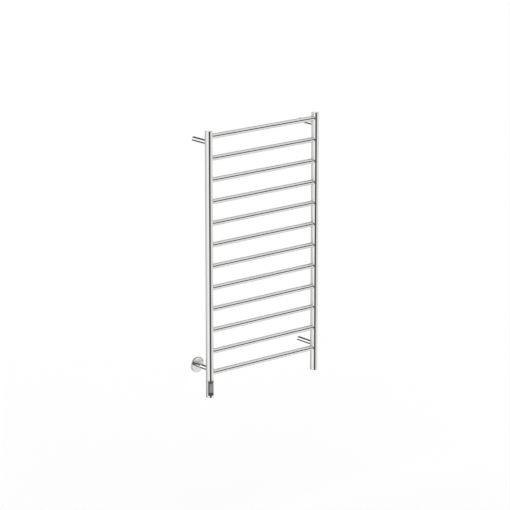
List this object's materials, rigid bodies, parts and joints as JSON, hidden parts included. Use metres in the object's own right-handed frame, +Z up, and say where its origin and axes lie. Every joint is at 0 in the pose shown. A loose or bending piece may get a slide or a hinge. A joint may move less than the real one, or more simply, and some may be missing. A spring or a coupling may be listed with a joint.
{
  "type": "towel warmer rack",
  "caption": "Wall-hung electric towel warmer: round bars between round posts, display and keypad in one post's foot, sliding cover flange on the wired wall leg.",
  "frame": {"origin": "centre of the lower left leg's end, on the wall", "axes": "+X along the bars from the left post to the right one, +Y into the wall, +Z up; the front faces -Y"},
  "size_m": [0.618, 0.115, 1.131],
  "materials": {
    "polished_steel": "polished",
    "zinc_casting": "satin",
    "screw_steel": "satin",
    "black_rubber": "matte",
    "red_silicone": "matte",
    "fascia_dark": "gloss",
    "keypad_grey": "satin",
    "button_grey": "satin",
    "display_lens": "gloss",
    "board_green": "satin",
    "housing_black": "satin",
    "pale_resin": "satin"
  },
  "bodies": {
    "rack": {"post_left": "polished_steel", "post_right": "polished_steel", "cap_left_top": "polished_steel", "cap_right_top": "polished_steel", "cap_right_bottom": "polished_steel", "cap_left_bottom": "polished_steel", "bar_01": "polished_steel", "bar_02": "polished_steel", "bar_03": "polished_steel", "bar_04": "polished_steel", "bar_05": "polished_steel", "bar_06": "polished_steel", "bar_07": "polished_steel", "bar_08": "polished_steel", "bar_09": "polished_steel", "bar_10": "polished_steel", "bar_11": "polished_steel", "bar_12": "polished_steel", "leg_upper_left": "polished_steel", "leg_upper_right": "polished_steel", "leg_lower_right": "polished_steel", "leg_lower_left": "polished_steel", "wall_boss_upper_left": "zinc_casting", "wall_boss_upper_right": "zinc_casting", "wall_boss_lower_right": "zinc_casting", "set_screw_upper_left": "screw_steel", "set_screw_upper_right": "screw_steel", "set_screw_lower_right": "screw_steel", "cable_bush": "black_rubber", "heating_cable": "red_silicone", "supply_lead": "black_rubber", "thermal_cutout": "pale_resin", "control_sleeve": "polished_steel", "joining_collar": "zinc_casting", "control_carrier": "housing_black", "collar_screw": "screw_steel", "sleeve_screw": "screw_steel", "control_board": "board_green", "display_module": "housing_black", "power_relay": "pale_resin", "terminal_block": "pale_resin", "display_lens": "display_lens", "control_bezel": "fascia_dark", "keypad_overlay": "keypad_grey", "switch_warmer": "housing_black", "switch_power": "housing_black", "switch_cooler": "housing_black"},
    "wall_cover": {"cover_flange": "polished_steel", "flange_o_ring": "black_rubber"},
    "warmer_key": {"button_warmer": "button_grey"},
    "power_key": {"button_power": "button_grey"},
    "cooler_key": {"button_cooler": "button_grey"}
  },
  "joints": [
    {"name": "cover_slide", "type": "slide", "parent": "rack", "child": "wall_cover", "axis": [0, 1, 0], "range_m": [-0.058, 0.015]},
    {"name": "warmer_press", "type": "slide", "parent": "rack", "child": "warmer_key", "axis": [0, 1, 0], "range_m": [0, 0.0008], "stiffness_N_per_m": 900},
    {"name": "power_press", "type": "slide", "parent": "rack", "child": "power_key", "axis": [0, 1, 0], "range_m": [0, 0.0008], "stiffness_N_per_m": 900},
    {"name": "cooler_press", "type": "slide", "parent": "rack", "child": "cooler_key", "axis": [0, 1, 0], "range_m": [0, 0.0008], "stiffness_N_per_m": 900}
  ]
}
